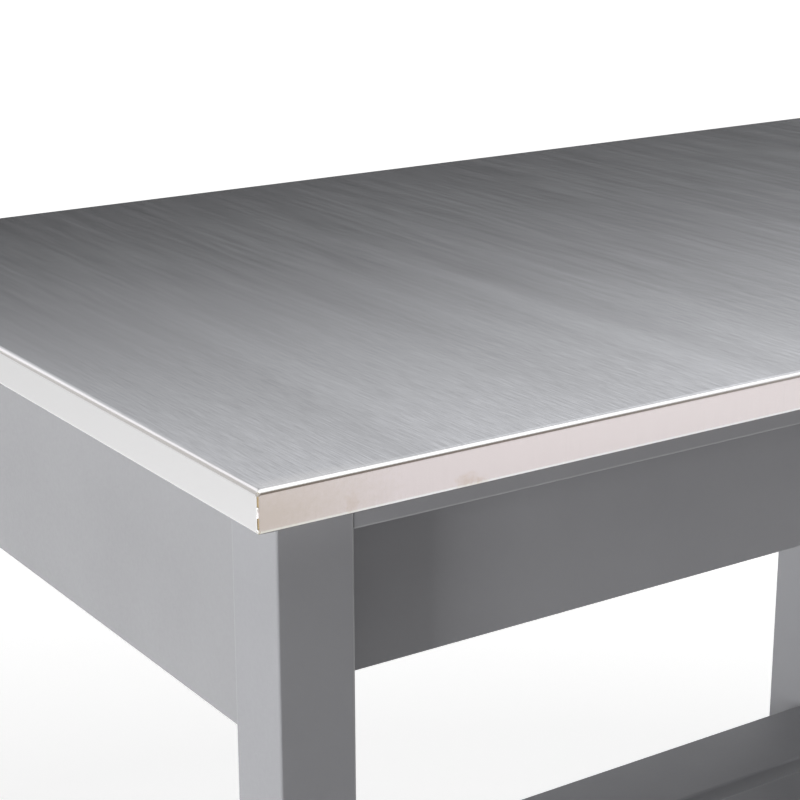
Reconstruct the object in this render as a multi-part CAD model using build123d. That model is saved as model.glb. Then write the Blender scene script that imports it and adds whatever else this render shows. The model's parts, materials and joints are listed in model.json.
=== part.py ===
from build123d import *
import os
from math import cos, hypot, radians, sin

# Kitchen cart: a folded steel worktop on a painted frame with one drawer, two slatted shelves and four casters.
# Millimetres, +Z up, origin on the floor under the middle of the worktop, front towards -Y, left towards -X.

# Worktop: a folded sheet over a core board
top_length = 800.0
top_depth = 500.0
top_thickness = 18.0
worktop_height = 900.0
sheet_gauge = 1.0
edge_inner_radius = 1.5
hem_inner_radius = 0.5
hem_clearance = 4.0
seam_width = 1.0
seam_slot = 4.5
seam_tack = 4.0
glue_line = 0.05

# Frame
overhang = 18.0
leg_side = 35.0
leg_arris = 1.0
board_arris = 1.0
apron_height = 103.0
apron_thickness = 18.0
apron_setback = 0.5
rail_thickness = 15.0
rail_depth = 100.0
rail_setback = 0.3

# Slatted shelves
upper_shelf_height = 440.0
lower_shelf_height = 180.0
shelf_rail_thickness = 22.0
shelf_rail_height = 45.0
rabbet_width = 10.0
slat_count = 5
slat_thickness = 14.0
slat_gap = 15.0
slat_leg_gap = 2.0
slat_end_gap = 0.5
slat_arris = 2.0

# Drawer and its runners
drawer_recess = 12.0
drawer_front_height = 64.0
drawer_front_thickness = 16.0
drawer_front_arris = 1.0
drawer_side_gap = 2.0
drawer_top_gap = 2.0
drawer_rear_gap = 18.0
drawer_side_drop = 4.0
drawer_side_lift = 4.0
drawer_side_web = 7.0
drawer_back_thickness = 13.0
drawer_back_inset = 6.0
drawer_bottom_thickness = 4.0
drawer_bottom_lift = 6.0
bottom_groove_depth = 5.0
bottom_clearance = 0.1
housing_depth = 4.0
runner_height = 16.0
runner_engagement = 7.5
runner_clearance = 0.3
runner_lift = 32.0
stop_width = 40.0
stop_thickness = 10.0
stop_overlap = 8.0
stop_hold = 20.0

# Drawer pull
pull_spacing = 96.0
pull_overrun = 20.0
pull_bar_diameter = 10.0
pull_post_diameter = 9.0
pull_projection = 26.0
pull_screw_diameter = 4.0
pull_screw_head = 8.0
pull_screw_head_height = 2.5
pull_screw_reach = 8.0

# Joinery and screws
dowel_diameter = 8.0
dowel_depth = 18.0
dowel_end_gap = 1.0
dowel_edge = 12.0
rail_dowel_spacing = 17.0
shelf_dowel_edge = 7.0
shelf_bolt_edge = 15.5
shelf_dowel_rise = 24.0
apron_bolt_edge = 28.0
rear_bolt_rise = 14.0
cam_diameter = 15.0
cam_margin = 3.5
cam_setback = 30.0
cam_bolt_diameter = 6.0
cam_bolt_anchor = 11.0
top_fixing_share = 0.6
bore_clearance = 0.1
screw_diameter = 4.0
screw_head_diameter = 8.0
screw_bite = 12.0
slat_screw_inset = 5.0
slat_screw_share = 0.3

# Casters
wheel_diameter = 60.0
tyre_width = 20.0
tyre_depth = 7.0
tyre_shoulder = 4.0
hub_width = 22.0
hub_boss_diameter = 14.0
hub_web = 8.0
hub_rim = 5.0
hub_rib_count = 6
hub_rib_thickness = 2.2
hub_rib_recess = 2.5
axle_diameter = 6.0
axle_head_diameter = 11.0
axle_head_height = 2.0
caster_trail = 22.0
fork_gap = 24.0
fork_gauge = 2.5
fork_bend = 2.5
fork_boss_diameter = 18.0
fork_skirt = 14.0
fork_tail = 6.0
crown_clearance = 12.2
swivel_gap = 0.3
collar_diameter = 29.0
collar_height = 4.0
collar_round = 2.0
hex_across = 17.0
hex_height = 5.0
kingpin_diameter = 8.0
rivet_diameter = 14.0
rivet_height = 2.5
stem_diameter = 10.0
stem_length = 26.0
insert_diameter = 14.0
insert_length = 24.0
insert_bore_extra = 6.0
running_clearance = 0.05

# Brake pedals
brake_pivot_back = 11.0
brake_pivot_rise = 6.5
brake_pin_diameter = 4.0
brake_boss_diameter = 9.0
brake_shoe_tip = 2.0
brake_throw = 25.0
brake_gap = 0.4
brake_side_gap = 1.0
brake_arm_length = 30.0
brake_arm_rise = 5.0
brake_pad_start = 16.0
brake_pad_width = 30.0
brake_pad_thickness = 4.0
brake_ridge_count = 4
brake_ridge_diameter = 1.6

# Places that several pieces share
edge_radius = edge_inner_radius + sheet_gauge
hem_radius = hem_inner_radius + sheet_gauge
hem_width = overhang - hem_clearance
top_underside = worktop_height - top_thickness
frame_top = top_underside + sheet_gauge
frame_x = top_length / 2 - overhang
frame_y = top_depth / 2 - overhang
leg_x = frame_x - leg_side
leg_y = frame_y - leg_side
leg_centre_x = frame_x - leg_side / 2
leg_centre_y = frame_y - leg_side / 2
apron_outer_x = frame_x - apron_setback
apron_inner_x = apron_outer_x - apron_thickness
apron_outer_y = frame_y - apron_setback
apron_inner_y = apron_outer_y - apron_thickness
apron_bottom = frame_top - apron_height
rail_bottom = frame_top - rail_thickness
rail_front_y = -frame_y + rail_setback
rail_rear_y = rail_front_y + rail_depth
shelf_rail_inner_x = apron_outer_x - shelf_rail_thickness
slat_half_length = shelf_rail_inner_x + rabbet_width - slat_end_gap
slat_field = 2 * (leg_y - slat_leg_gap)
slat_width = (slat_field - (slat_count - 1) * slat_gap) / slat_count

drawer_x = leg_x - drawer_side_gap
drawer_front_y = -frame_y + drawer_recess
drawer_front_back_y = drawer_front_y + drawer_front_thickness
drawer_front_top = rail_bottom - drawer_top_gap
drawer_front_bottom = drawer_front_top - drawer_front_height
drawer_side_thickness = drawer_side_web + runner_engagement + runner_clearance
drawer_inner_x = drawer_x - drawer_side_thickness
drawer_low = drawer_front_bottom + drawer_side_drop
drawer_high = drawer_front_top - drawer_side_lift
drawer_end_y = apron_inner_y - drawer_rear_gap
drawer_back_y = drawer_end_y - drawer_back_inset - drawer_back_thickness
drawer_floor = drawer_low + drawer_bottom_lift
drawer_floor_top = drawer_floor + drawer_bottom_thickness
runner_z = drawer_low + runner_lift
pull_z = (drawer_front_top + drawer_front_bottom) / 2
pull_bar_y = drawer_front_y - pull_projection + pull_bar_diameter / 2

wheel_radius = wheel_diameter / 2
rim_radius = wheel_radius - tyre_depth
fork_outer = fork_gap + 2 * fork_gauge
crown_underside = wheel_diameter + crown_clearance
crown_top = crown_underside + fork_gauge
collar_low = crown_top + swivel_gap
collar_top = collar_low + collar_height
leg_bottom = collar_top + hex_height
brake_pivot_x = caster_trail + brake_pivot_back
brake_pivot_z = wheel_diameter + brake_pivot_rise

sides = {"left": -1, "right": 1}
ends = {"front": -1, "rear": 1}
shelves = {"upper": upper_shelf_height, "lower": lower_shelf_height}
along_x = Vector(1, 0, 0)
along_y = Vector(0, 1, 0)
along_z = Vector(0, 0, 1)


def block(x, y, z):
    """Cuboid between the given (low, high) pairs."""
    size = [high - low for low, high in (x, y, z)]
    middle = [(low + high) / 2 for low, high in (x, y, z)]
    return Pos(*middle) * Box(*size)


def span(sign, near, far):
    """(low, high) pair for two distances on one side of the middle."""
    return (min(sign * near, sign * far), max(sign * near, sign * far))


def rod(start, axis, diameter, length):
    """Cylinder that runs from start along axis."""
    low_end = (Align.CENTER, Align.CENTER, Align.MIN)
    return Plane(origin=start, z_dir=axis) * Cylinder(diameter / 2, length, align=low_end)


def soften(board, axis, radius):
    """Round the long edges of a board."""
    return fillet(board.edges().filter_by(axis), radius)


def slab(half_x, half_y, low, high, top_radius, low_radius):
    """Board with rounded upper and lower edges."""
    body = block((-half_x, half_x), (-half_y, half_y), (low, high))
    body = fillet(body.edges().group_by(Axis.Z)[-1], top_radius)
    return fillet(body.edges().group_by(Axis.Z)[0], low_radius)


# Hidden joinery: dowels and cam fittings between a board and what it meets
dowels = []
cam_fittings = []
bores = {}


def bore(names, cutters):
    """Note cutters against every piece that they go through."""
    for name in names:
        bores.setdefault(name, []).extend(cutters)


def dowel_joint(names, point, into):
    """One dowel, half in each piece."""
    reach = dowel_depth + dowel_end_gap
    dowels.append(rod(point - into * dowel_depth, into, dowel_diameter, 2 * dowel_depth))
    bore(names, [rod(point - into * reach, into, dowel_diameter + 2 * bore_clearance, 2 * reach)])


def cam_joint(names, point, into, face, thickness):
    """Bolt across the joint and the cam that draws it tight, set into one face of the board."""
    depth = thickness / 2 + cam_margin
    mouth = point + into * cam_setback + face * (thickness / 2)
    start = point - into * cam_bolt_anchor
    hole = cam_bolt_diameter + 2 * bore_clearance
    bolt = rod(start, into, cam_bolt_diameter, cam_bolt_anchor + cam_setback)
    bolt_bore = rod(start - into, into, hole, cam_bolt_anchor + cam_setback + 2)
    cam = rod(mouth, face * -1, cam_diameter, depth) - bolt_bore
    pocket = rod(mouth, face * -1, cam_diameter + 2 * bore_clearance, depth + bore_clearance)
    cam_fittings.extend([bolt, cam])
    bore(names, [bolt_bore, pocket])


def side_board_joints(board, sign, x_middle, thickness, dowel_heights, bolt_height):
    """Both ends of a board that runs front to back between two legs."""
    side = "left" if sign < 0 else "right"
    for end, way in ends.items():
        names = [board, f"{end}_{side}_leg"]
        for height in dowel_heights:
            dowel_joint(names, Vector(sign * x_middle, way * leg_y, height), along_y * -way)
        point = Vector(sign * x_middle, way * leg_y, bolt_height)
        cam_joint(names, point, along_y * -way, along_x * -sign, thickness)


def join_frame():
    for side, sign in sides.items():
        middle = apron_outer_x - apron_thickness / 2
        heights = (frame_top - rail_thickness - dowel_edge, apron_bottom + dowel_edge)
        side_board_joints(f"{side}_apron", sign, middle, apron_thickness, heights, apron_bottom + apron_bolt_edge)
        for shelf, height in shelves.items():
            low = height - shelf_rail_height
            heights = (low + shelf_dowel_edge, low + shelf_dowel_rise)
            middle = apron_outer_x - shelf_rail_thickness / 2
            name = f"{shelf}_shelf_{side}_rail"
            side_board_joints(name, sign, middle, shelf_rail_thickness, heights, low + shelf_bolt_edge)
        rear = ["rear_apron", f"rear_{side}_leg"]
        rear_y = apron_outer_y - apron_thickness / 2
        rear_middle = (frame_top + apron_bottom) / 2
        for height in (rear_middle + 2 * rear_bolt_rise, rear_middle - rear_bolt_rise):
            dowel_joint(rear, Vector(sign * leg_x, rear_y, height), along_x * -sign)
        rear_point = Vector(sign * leg_x, rear_y, rear_middle + rear_bolt_rise / 2)
        cam_joint(rear, rear_point, along_x * -sign, along_y * -1, apron_thickness)
        front = ["front_top_rail", f"front_{side}_leg"]
        rail_z = frame_top - rail_thickness / 2
        for offset in (-rail_dowel_spacing / 2, rail_dowel_spacing / 2):
            dowel_joint(front, Vector(sign * leg_x, -leg_centre_y + offset, rail_z), along_x * -sign)


def join_top():
    """Cam fittings that hold the core board down on the aprons."""
    for side, sign in sides.items():
        middle = sign * (apron_outer_x - apron_thickness / 2)
        for way in (-1, 1):
            point = Vector(middle, way * leg_y * top_fixing_share, frame_top)
            cam_joint([f"{side}_apron", "top_core"], point, along_z * -1, along_x * -sign, apron_thickness)
        point = Vector(sign * leg_x * top_fixing_share, apron_outer_y - apron_thickness / 2, frame_top)
        cam_joint(["rear_apron", "top_core"], point, along_z * -1, along_y * -1, apron_thickness)


# Wood screws: a countersunk head at a point and a shank that follows an axis
wood_screws = []


def screw(names, point, axis, length):
    sink = (screw_head_diameter - screw_diameter) / 2
    wide = bore_clearance

    def shape(extra):
        head = screw_head_diameter / 2 + extra
        shank = screw_diameter / 2 + extra
        tip = length + extra
        outline = Polyline((0, 0), (head, 0), (shank, sink), (shank, tip - shank), (0, tip), close=True)
        return Plane(origin=point, z_dir=axis) * (Rot(90, 0, 0) * revolve(make_face(outline), Axis.Y))

    wood_screws.append(shape(0))
    bore(names, [shape(wide)])


def slat_y(number):
    """Middle of a slat, counted from the front."""
    return -slat_field / 2 + slat_width / 2 + number * (slat_width + slat_gap)


def drive_screws():
    for side, sign in sides.items():
        for shelf, height in shelves.items():
            for number in range(slat_count):
                names = [f"{shelf}_shelf_slat_{number + 1}", f"{shelf}_shelf_{side}_rail"]
                place = sign * (slat_half_length - slat_screw_inset)
                for offset in (-slat_screw_share * slat_width, slat_screw_share * slat_width):
                    point = Vector(place, slat_y(number) + offset, height)
                    screw(names, point, along_z * -1, slat_thickness + screw_bite)
        tongue_x = drawer_x - runner_engagement
        for way in (-1, 0, 1):
            names = [f"{side}_runner", f"{side}_apron"]
            point = Vector(sign * tongue_x, way * leg_y * 0.7, runner_z)
            screw(names, point, along_x * sign, apron_inner_x - tongue_x + screw_bite)
    for way in (-1, 0, 1):
        point = Vector(way * leg_x * 0.8, (rail_front_y + rail_rear_y) / 2, rail_bottom)
        screw(["front_top_rail", "top_core"], point, along_z, rail_thickness + screw_bite)


# Worktop
def steel_top():
    half_x = top_length / 2
    half_y = top_depth / 2
    sheet = slab(half_x, half_y, top_underside, worktop_height, edge_radius, hem_radius)
    sheet -= slab(
        half_x - sheet_gauge,
        half_y - sheet_gauge,
        top_underside + sheet_gauge,
        worktop_height - sheet_gauge,
        edge_inner_radius,
        hem_inner_radius,
    )
    window_x = half_x - hem_width
    window_y = half_y - hem_width
    sheet -= block((-window_x, window_x), (-window_y, window_y), (top_underside, frame_top))
    upper = worktop_height - edge_radius - seam_slot / 2
    lower = upper - seam_slot - seam_tack
    for sign_x in (-1, 1):
        for sign_y in (-1, 1):
            turn = Rot(0, 0, 45 * sign_x * sign_y)
            for height in (upper, lower):
                slot = Box(6 * sheet_gauge, seam_width, seam_slot)
                sheet -= Pos(sign_x * half_x, sign_y * half_y, height) * turn * slot
    return sheet


def top_core():
    inset = sheet_gauge + glue_line
    high = worktop_height - inset
    half_x = top_length / 2 - inset
    half_y = top_depth / 2 - inset
    return slab(half_x, half_y, frame_top, high, edge_inner_radius, hem_inner_radius)


# Frame
def leg(sign_x, sign_y):
    post = block(span(sign_x, leg_x, frame_x), span(sign_y, leg_y, frame_y), (leg_bottom, frame_top))
    post = soften(post, Axis.Z, leg_arris)
    foot = Vector(sign_x * leg_centre_x, sign_y * leg_centre_y, leg_bottom)
    return post - rod(foot, along_z, insert_diameter + 2 * bore_clearance, insert_length + insert_bore_extra)


def side_apron(sign):
    board = block(span(sign, apron_inner_x, apron_outer_x), (-leg_y, leg_y), (apron_bottom, frame_top))
    return soften(board, Axis.Y, board_arris)


def rear_apron():
    board = block((-leg_x, leg_x), (apron_inner_y, apron_outer_y), (apron_bottom, frame_top))
    return soften(board, Axis.X, board_arris)


def front_top_rail():
    board = block((-leg_x, leg_x), (rail_front_y, rail_rear_y), (rail_bottom, frame_top))
    return soften(board, Axis.X, board_arris)


# Shelves
def shelf_rail(sign, height):
    x = span(sign, shelf_rail_inner_x, apron_outer_x)
    board = block(x, (-leg_y, leg_y), (height - shelf_rail_height, height))
    board = soften(board, Axis.Y, board_arris)
    ledge = span(sign, shelf_rail_inner_x - 1, shelf_rail_inner_x + rabbet_width)
    return board - block(ledge, (-leg_y, leg_y), (height - slat_thickness, height + 1))


def slat(number, height):
    low = slat_y(number) - slat_width / 2
    x = (-slat_half_length, slat_half_length)
    board = block(x, (low, low + slat_width), (height - slat_thickness, height))
    return soften(board, Axis.X, slat_arris)


# Drawer
def drawer_bottom_groove(x, y):
    return block(x, y, (drawer_floor - bottom_clearance, drawer_floor_top + bottom_clearance))


def drawer_front():
    x = (-drawer_x, drawer_x)
    panel = block(x, (drawer_front_y, drawer_front_back_y), (drawer_front_bottom, drawer_front_top))
    panel = fillet(panel.faces().sort_by(Axis.Y)[0].edges(), drawer_front_arris)
    for sign in (-1, 1):
        y = (drawer_front_back_y - housing_depth, drawer_front_back_y)
        panel -= block(span(sign, drawer_inner_x, drawer_x), y, (drawer_low, drawer_high))
        start = Vector(sign * pull_spacing / 2, drawer_front_y, pull_z)
        panel -= rod(start, along_y, pull_screw_diameter + 2 * bore_clearance, drawer_front_thickness)
    groove_y = (drawer_front_back_y - bottom_groove_depth, drawer_front_back_y)
    return panel - drawer_bottom_groove((-drawer_inner_x, drawer_inner_x), groove_y)


def drawer_side(sign):
    y = (drawer_front_back_y - housing_depth, drawer_end_y)
    board = block(span(sign, drawer_inner_x, drawer_x), y, (drawer_low, drawer_high))
    reach = drawer_x - runner_engagement - runner_clearance
    half = runner_height / 2 + runner_clearance
    board -= block(span(sign, reach, drawer_x), y, (runner_z - half, runner_z + half))
    board -= drawer_bottom_groove(span(sign, drawer_inner_x, drawer_inner_x + bottom_groove_depth), y)
    housing_y = (drawer_back_y, drawer_back_y + drawer_back_thickness)
    housing_x = span(sign, drawer_inner_x, drawer_inner_x + housing_depth)
    return board - block(housing_x, housing_y, (drawer_low, drawer_high))


def drawer_back():
    half = drawer_inner_x + housing_depth
    y = (drawer_back_y, drawer_back_y + drawer_back_thickness)
    board = block((-half, half), y, (drawer_low, drawer_high))
    return board - drawer_bottom_groove((-half, half), (drawer_back_y, drawer_back_y + bottom_groove_depth))


def drawer_bottom():
    half = drawer_inner_x + bottom_groove_depth - bottom_clearance
    low = drawer_front_back_y - bottom_groove_depth + bottom_clearance
    high = drawer_back_y + bottom_groove_depth - bottom_clearance
    panel = block((-half, half), (low, high), (drawer_floor, drawer_floor_top))
    for sign in (-1, 1):
        notch = span(sign, drawer_inner_x - bottom_clearance, half + 1)
        panel -= block(notch, (low - 1, drawer_front_back_y + bottom_clearance), (drawer_low, drawer_high))
        panel -= block(notch, (drawer_back_y - bottom_clearance, high + 1), (drawer_low, drawer_high))
    return panel


def drawer_stop():
    y = (drawer_back_y - stop_thickness, drawer_back_y)
    return block((-stop_width / 2, stop_width / 2), y, (drawer_high - stop_hold, rail_bottom + stop_overlap))


def runner(sign):
    x = span(sign, drawer_x - runner_engagement, apron_inner_x)
    return block(x, (-leg_y, leg_y), (runner_z - runner_height / 2, runner_z + runner_height / 2))


def drawer_pull():
    half = pull_spacing / 2 + pull_overrun
    bar = rod(Vector(-half, pull_bar_y, pull_z), along_x, pull_bar_diameter, 2 * half)
    bar = chamfer(bar.edges(), pull_bar_diameter / 10)
    for sign in (-1, 1):
        foot = Vector(sign * pull_spacing / 2, drawer_front_y, pull_z)
        bar += rod(foot, along_y * -1, pull_post_diameter, drawer_front_y - pull_bar_y)
    for sign in (-1, 1):
        foot = Vector(sign * pull_spacing / 2, drawer_front_y, pull_z)
        hole = pull_screw_diameter + 2 * bore_clearance
        bar -= rod(foot, along_y * -1, hole, pull_screw_reach + 1)
    return bar


def pull_screws():
    screws = []
    for sign in (-1, 1):
        seat = Vector(sign * pull_spacing / 2, drawer_front_back_y, pull_z)
        shank = rod(seat, along_y * -1, pull_screw_diameter, drawer_front_thickness + pull_screw_reach)
        screws.append(shank + rod(seat, along_y, pull_screw_head, pull_screw_head_height))
    return screws


# Casters, drawn with the kingpin on the Z axis and the wheel trailing towards +X
def caster_stem():
    flats = RegularPolygon(hex_across / 2, 6, major_radius=False)
    stem = extrude(Pos(0, 0, collar_top) * flats, hex_height)
    collar = rod(Vector(0, 0, collar_low), along_z, collar_diameter, collar_height)
    stem += fillet(collar.edges().group_by(Axis.Z)[-1], collar_round)
    rivet_top = crown_underside - swivel_gap
    stem += rod(Vector(0, 0, rivet_top), along_z, kingpin_diameter, collar_low - rivet_top)
    stem += rod(Vector(0, 0, rivet_top - rivet_height), along_z, rivet_diameter, rivet_height)
    stud = rod(Vector(0, 0, leg_bottom), along_z, stem_diameter, stem_length)
    return stem + chamfer(stud.edges().group_by(Axis.Z)[-1], stem_diameter / 10)


def caster_fork(braked):
    low = wheel_radius - fork_boss_diameter / 2 - 1
    outer = Pos(0, (crown_top + low) / 2) * Rectangle(fork_outer, crown_top - low)
    outer = fillet(outer.vertices().group_by(Axis.Y)[-1], fork_bend + fork_gauge)
    inner = Pos(0, (crown_underside + low) / 2) * Rectangle(fork_gap, crown_underside - low)
    inner = fillet(inner.vertices().group_by(Axis.Y)[-1], fork_bend)
    tail = brake_pivot_x + fork_tail
    channel = extrude(Plane.YZ * (outer - inner), 2 * tail, both=True)
    skirt = Pos(tail / 2 - fork_outer / 4, crown_top - fork_skirt / 2) * Rectangle(tail + fork_outer / 2, fork_skirt)
    boss = Pos(caster_trail, wheel_radius) * Circle(fork_boss_diameter / 2)
    cheek = extrude(Plane.XZ * make_hull(skirt.edges() + boss.edges()), fork_outer, both=True)
    nose = Circle(fork_outer / 2).edges() + (Pos(tail / 2, 0) * Rectangle(tail, fork_outer)).edges()
    crown = extrude(make_hull(nose), crown_top + 1)
    fork = channel & cheek & crown
    across = Vector(0, -fork_outer, 0)
    fork -= rod(Vector(0, 0, low), along_z, kingpin_diameter + 2 * bore_clearance, crown_top)
    axle_hole = axle_diameter + 2 * running_clearance
    fork -= rod(Vector(caster_trail, 0, wheel_radius) + across, along_y, axle_hole, 2 * fork_outer)
    if braked:
        pin_hole = brake_pin_diameter + 2 * bore_clearance
        fork -= rod(Vector(brake_pivot_x, 0, brake_pivot_z) + across, along_y, pin_hole, 2 * fork_outer)
    return fork


def caster_axle():
    end = Vector(caster_trail, -fork_outer / 2, wheel_radius)
    pin = rod(end, along_y, axle_diameter, fork_outer)
    head = rod(end, along_y * -1, axle_head_diameter, axle_head_height)
    pin += chamfer(head.edges().group_by(Axis.Y)[0], axle_head_height / 3)
    tail = rod(end + along_y * fork_outer, along_y, axle_head_diameter, axle_head_height)
    return pin + chamfer(tail.edges().group_by(Axis.Y)[-1], axle_head_height / 3)


def on_axle(wheel):
    """Set a wheel that was turned about the Z axis on the axle."""
    return Pos(caster_trail, 0, wheel_radius) * Rot(90, 0, 0) * wheel


def caster_hub():
    bore_radius = axle_diameter / 2 + running_clearance
    boss = hub_boss_diameter / 2
    shoulder = rim_radius - hub_rim
    half = [
        (bore_radius, hub_width / 2),
        (boss, hub_width / 2),
        (boss + 1, hub_web / 2),
        (shoulder, hub_web / 2),
        (shoulder + 1, tyre_width / 2),
        (rim_radius, tyre_width / 2),
    ]
    mirrored = [(radius, -width) for radius, width in reversed(half)]
    hub = revolve(Plane.XZ * make_face(Polyline(*half, *mirrored, close=True)), Axis.Z)
    reach = tyre_width / 2 - hub_rib_recess
    flat = (-hub_rib_thickness / 2, hub_rib_thickness / 2)
    rib = block((boss - 1, shoulder + 1), flat, (-reach, reach))
    for number in range(hub_rib_count):
        hub += Rot(0, 0, 360 * number / hub_rib_count) * rib
    return on_axle(hub)


def caster_tyre():
    inner = rim_radius + running_clearance
    ring = Pos((inner + wheel_radius) / 2, 0) * Rectangle(wheel_radius - inner, tyre_width)
    ring = fillet(ring.vertices().group_by(Axis.X)[-1], tyre_shoulder)
    return on_axle(revolve(Plane.XZ * ring, Axis.Z))


def caster_brake():
    reach = hypot(brake_pivot_back, wheel_radius + brake_pivot_rise)
    shoe = reach - wheel_radius - brake_gap - brake_shoe_tip
    down_x = -brake_pivot_back / reach
    down_z = -(wheel_radius + brake_pivot_rise) / reach
    swing = radians(brake_throw)
    shoe_x = brake_pivot_x + shoe * (down_x * cos(swing) - down_z * sin(swing))
    shoe_z = brake_pivot_z + shoe * (down_x * sin(swing) + down_z * cos(swing))
    boss = Pos(brake_pivot_x, brake_pivot_z) * Circle(brake_boss_diameter / 2)
    tip = Pos(shoe_x, shoe_z) * Circle(brake_shoe_tip)
    slope = brake_arm_rise / brake_arm_length
    pad = brake_pad_thickness / 2
    near = Pos(brake_pivot_x + brake_pad_start, brake_pivot_z + slope * brake_pad_start) * Circle(pad)
    far = Pos(brake_pivot_x + brake_arm_length, brake_pivot_z + brake_arm_rise) * Circle(pad)
    lever = make_hull(boss.edges() + tip.edges()) + make_hull(boss.edges() + near.edges())
    pedal = extrude(Plane.XZ * lever, fork_gap / 2 - brake_side_gap, both=True)
    pedal += extrude(Plane.XZ * make_hull(near.edges() + far.edges()), brake_pad_width / 2, both=True)
    along_pad = Vector(1, 0, slope).normalized()
    pad_face = Vector(brake_pivot_x, -brake_pad_width / 2, brake_pivot_z) + Vector(-slope, 0, 1).normalized() * pad
    for number in range(brake_ridge_count):
        place = brake_pad_start + (number + 0.5) * (brake_arm_length - brake_pad_start) / brake_ridge_count
        pedal += rod(pad_face + along_pad * place, along_y, brake_ridge_diameter, brake_pad_width)
    end = Vector(brake_pivot_x, -fork_outer / 2, brake_pivot_z)
    return pedal + rod(end, along_y, brake_pin_diameter, fork_outer)


def leg_insert():
    foot = Vector(0, 0, leg_bottom)
    sleeve = rod(foot, along_z, insert_diameter, insert_length)
    return sleeve - rod(foot, along_z, stem_diameter + 2 * bore_clearance, insert_length)


# Assembly: every piece by name, with the bores that the joinery makes in it
def assemble():
    join_frame()
    join_top()
    drive_screws()
    pieces = {"steel_top": steel_top(), "top_core": top_core(), "rear_apron": rear_apron()}
    pieces["front_top_rail"] = front_top_rail()
    inserts = []
    for side, sign in sides.items():
        pieces[f"{side}_apron"] = side_apron(sign)
        pieces[f"{side}_runner"] = runner(sign)
        pieces[f"drawer_{side}_side"] = drawer_side(sign)
        for shelf, height in shelves.items():
            pieces[f"{shelf}_shelf_{side}_rail"] = shelf_rail(sign, height)
        for end, way in ends.items():
            pieces[f"{end}_{side}_leg"] = leg(sign, way)
            place = Pos(sign * leg_centre_x, way * leg_centre_y, 0) * Rot(0, 0, 90 + 90 * sign)
            caster = f"{end}_{side}_caster"
            pieces[f"{caster}_stem"] = place * caster_stem()
            pieces[f"{caster}_fork"] = place * caster_fork(end == "front")
            pieces[f"{caster}_axle"] = place * caster_axle()
            pieces[f"{caster}_hub"] = place * caster_hub()
            pieces[f"{caster}_tyre"] = place * caster_tyre()
            if end == "front":
                pieces[f"{caster}_brake"] = place * caster_brake()
            inserts.append(place * leg_insert())
    for shelf, height in shelves.items():
        for number in range(slat_count):
            pieces[f"{shelf}_shelf_slat_{number + 1}"] = slat(number, height)
    pieces["drawer_front"] = drawer_front()
    pieces["drawer_back"] = drawer_back()
    pieces["drawer_bottom"] = drawer_bottom()
    pieces["drawer_stop"] = drawer_stop()
    pieces["drawer_pull"] = drawer_pull()
    for name, cutters in bores.items():
        pieces[name] = pieces[name] - cutters
    pieces["leg_inserts"] = Compound(inserts)
    pieces["dowels"] = Compound(dowels)
    pieces["cam_fittings"] = Compound(cam_fittings)
    pieces["wood_screws"] = Compound(wood_screws)
    pieces["pull_screws"] = Compound(pull_screws())
    return pieces


os.makedirs("parts", exist_ok=True)
for name, piece in assemble().items():
    export_step(piece, f"parts/{name}.step")
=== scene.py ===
import json
import math
import bpy
from mathutils import Euler, Matrix, Vector


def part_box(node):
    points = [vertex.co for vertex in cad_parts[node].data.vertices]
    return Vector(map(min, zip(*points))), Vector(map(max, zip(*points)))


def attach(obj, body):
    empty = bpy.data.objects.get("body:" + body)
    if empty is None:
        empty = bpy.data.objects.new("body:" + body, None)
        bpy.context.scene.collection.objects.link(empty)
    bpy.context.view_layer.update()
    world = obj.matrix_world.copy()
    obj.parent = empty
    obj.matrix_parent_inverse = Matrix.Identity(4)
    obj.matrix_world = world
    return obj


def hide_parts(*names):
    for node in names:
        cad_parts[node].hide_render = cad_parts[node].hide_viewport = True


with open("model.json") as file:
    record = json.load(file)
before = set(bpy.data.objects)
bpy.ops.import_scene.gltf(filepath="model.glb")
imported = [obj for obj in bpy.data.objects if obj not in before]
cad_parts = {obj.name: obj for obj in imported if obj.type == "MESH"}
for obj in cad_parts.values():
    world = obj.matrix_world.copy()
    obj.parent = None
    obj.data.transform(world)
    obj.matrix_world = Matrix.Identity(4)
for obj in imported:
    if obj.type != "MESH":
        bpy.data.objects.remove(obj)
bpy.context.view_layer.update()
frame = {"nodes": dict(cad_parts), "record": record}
scene = bpy.context.scene
scene.view_settings.view_transform = "Standard"
print("cart frame loaded:", len(frame["nodes"]), "nodes")

tiny = 1e-5  # tolerance for picking by place, in metres
downward = -0.9  # a face whose normal's Z is less than this looks down
upright = 0.7  # a face with more than this of its normal along X or Y stands up
signs = (-1, 1)
white = (1.0, 1.0, 1.0, 1.0)


# small helpers for selecting, edit mode and plain shapes
def deselectAll():
    if bpy.context.object and bpy.context.object.mode != "OBJECT":
        bpy.ops.object.mode_set(mode="OBJECT")
    bpy.ops.object.select_all(action="DESELECT")


def makeActive(piece):
    deselectAll()
    piece.select_set(True)
    bpy.context.view_layer.objects.active = piece


def pick(piece, kind, test):
    makeActive(piece)
    bpy.ops.object.mode_set(mode="EDIT")
    bpy.ops.mesh.select_mode(type=kind)
    bpy.ops.mesh.select_all(action="DESELECT")
    bpy.ops.object.mode_set(mode="OBJECT")
    mesh = piece.data
    if kind == "FACE":
        for face in mesh.polygons:
            face.select = test(face.center, face.normal)
    elif kind == "EDGE":
        for edge in mesh.edges:
            edge.select = test(*(mesh.vertices[index].co for index in edge.vertices))
    else:
        for point in mesh.vertices:
            point.select = test(point.co)
    bpy.ops.object.mode_set(mode="EDIT")


def leaveEdit():
    bpy.ops.object.mode_set(mode="OBJECT")


def applyModifiers(piece):
    makeActive(piece)
    for modifier in list(piece.modifiers):
        bpy.ops.object.modifier_apply(modifier=modifier.name)


def settle(piece, name):
    makeActive(piece)
    piece.name = name
    piece.data.name = name
    bpy.ops.object.transform_apply(location=True, rotation=True, scale=True)


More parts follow.
